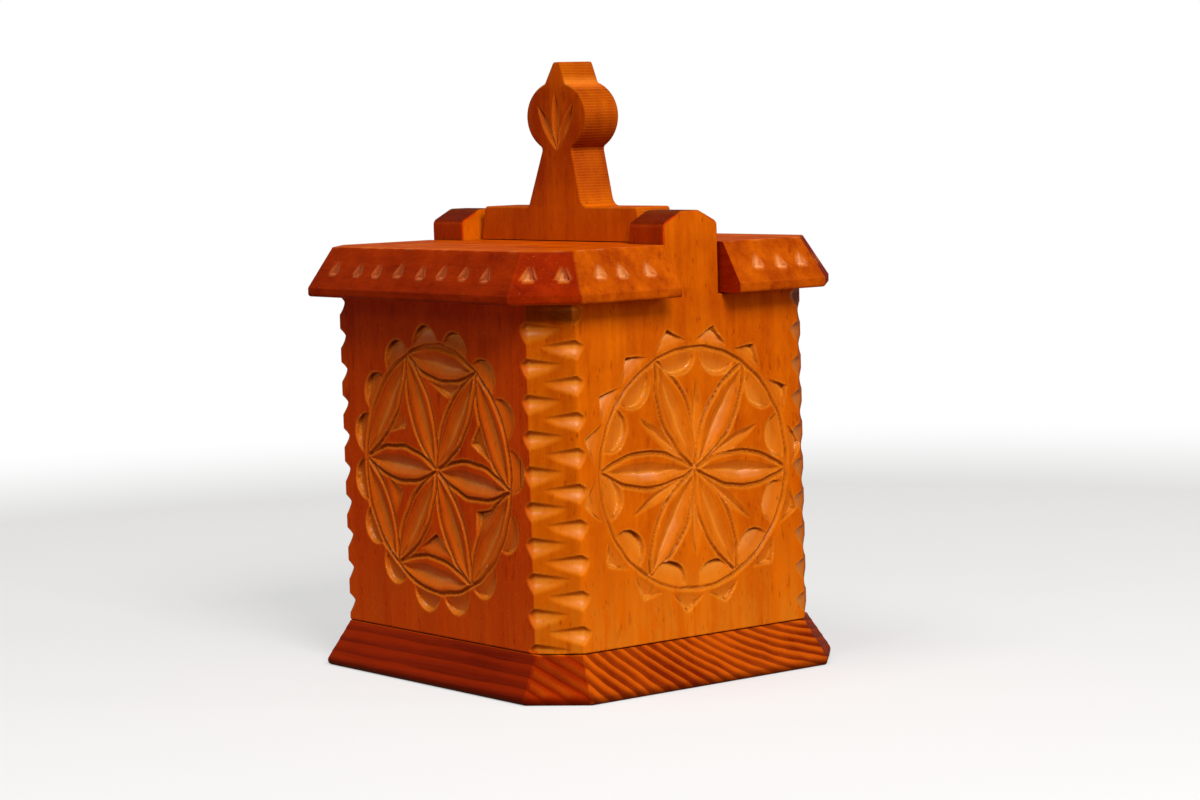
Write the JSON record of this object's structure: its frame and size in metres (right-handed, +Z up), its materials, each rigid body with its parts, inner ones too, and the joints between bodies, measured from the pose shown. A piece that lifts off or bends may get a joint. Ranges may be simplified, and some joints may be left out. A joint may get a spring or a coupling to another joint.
{
  "type": "salt box",
  "caption": "Carved wooden salt box with bevelled base, notched corners, rosettes and a lift-off lid with a bar handle and disc finial that seats between two ears.",
  "frame": {"origin": "middle of the base board's underside", "axes": "+X along the handle bar towards the right wall, +Y towards the back wall, +Z up"},
  "size_m": [0.1326, 0.122, 0.1833],
  "materials": {
    "body_wood": "orange-brown stain under satin varnish",
    "base_wood": "dark red-brown stained softwood under satin varnish",
    "lid_wood": "red-brown stain under gloss varnish",
    "dowel_wood": "bare beech"
  },
  "bodies": {
    "box": {"base_board": "base_wood", "right_wall": "body_wood", "left_wall": "body_wood", "front_wall": "body_wood", "back_wall": "body_wood", "wall_dowel_1": "dowel_wood", "wall_dowel_2": "dowel_wood", "wall_dowel_3": "dowel_wood", "wall_dowel_4": "dowel_wood", "wall_dowel_5": "dowel_wood", "wall_dowel_6": "dowel_wood", "wall_dowel_7": "dowel_wood", "wall_dowel_8": "dowel_wood", "base_dowel_1": "dowel_wood", "base_dowel_2": "dowel_wood", "base_dowel_3": "dowel_wood", "base_dowel_4": "dowel_wood", "base_dowel_5": "dowel_wood", "base_dowel_6": "dowel_wood", "base_dowel_7": "dowel_wood", "base_dowel_8": "dowel_wood"},
    "lid": {"lid_board": "lid_wood", "lid_handle": "lid_wood", "handle_dowel_1": "dowel_wood", "handle_dowel_2": "dowel_wood"}
  },
  "joints": [
    {"name": "lid_lift", "type": "slide", "parent": "box", "child": "lid", "axis": [0, 0, 1], "range_m": [0, 0.045]}
  ]
}
